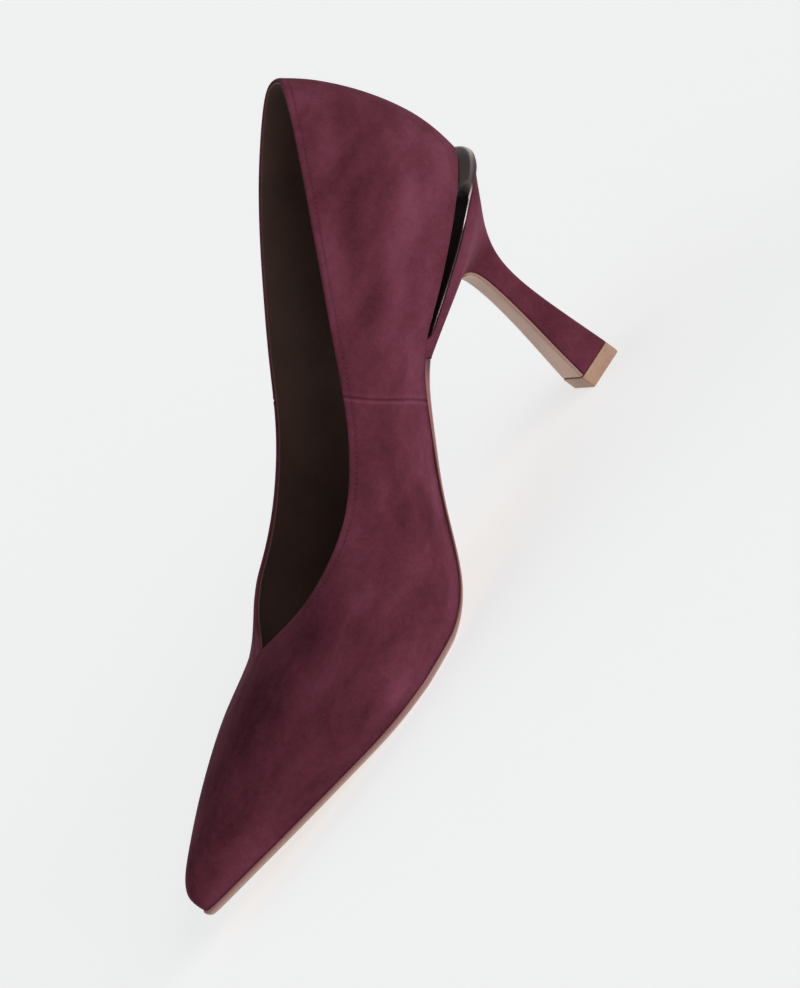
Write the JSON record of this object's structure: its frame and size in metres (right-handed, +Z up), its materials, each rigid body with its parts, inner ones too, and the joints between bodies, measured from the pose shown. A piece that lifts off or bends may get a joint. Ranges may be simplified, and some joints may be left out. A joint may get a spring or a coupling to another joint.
{
  "type": "heeled shoe",
  "caption": "Right pointed-toe pump with a V-cut vamp, a slim flared heel, a polished plate with an open wedge slot under the seat, and a thin leather sole.",
  "frame": {"origin": "middle of the heel's top piece where it treads on the floor", "axes": "+X towards the toe, +Y towards the inner side of the foot, +Z up"},
  "size_m": [0.2232, 0.0812, 0.1255],
  "materials": {
    "suede": "burgundy suede with a short brushed nap",
    "lining": "smooth dark brown lining leather",
    "sole_leather": "smooth tan sole leather",
    "gunmetal": "polished dark gunmetal",
    "heel_suede": "burgundy suede wrapped over the heel",
    "breast_leather": "smooth tan leather",
    "top_piece_tan": "firm tan top piece, slightly glossy"
  },
  "bodies": {
    "root": {"upper": "suede", "insole": "lining", "outsole": "sole_leather", "heel_plate": "gunmetal", "heel": "heel_suede", "breast_cover": "breast_leather", "top_piece": "top_piece_tan"}
  },
  "joints": []
}
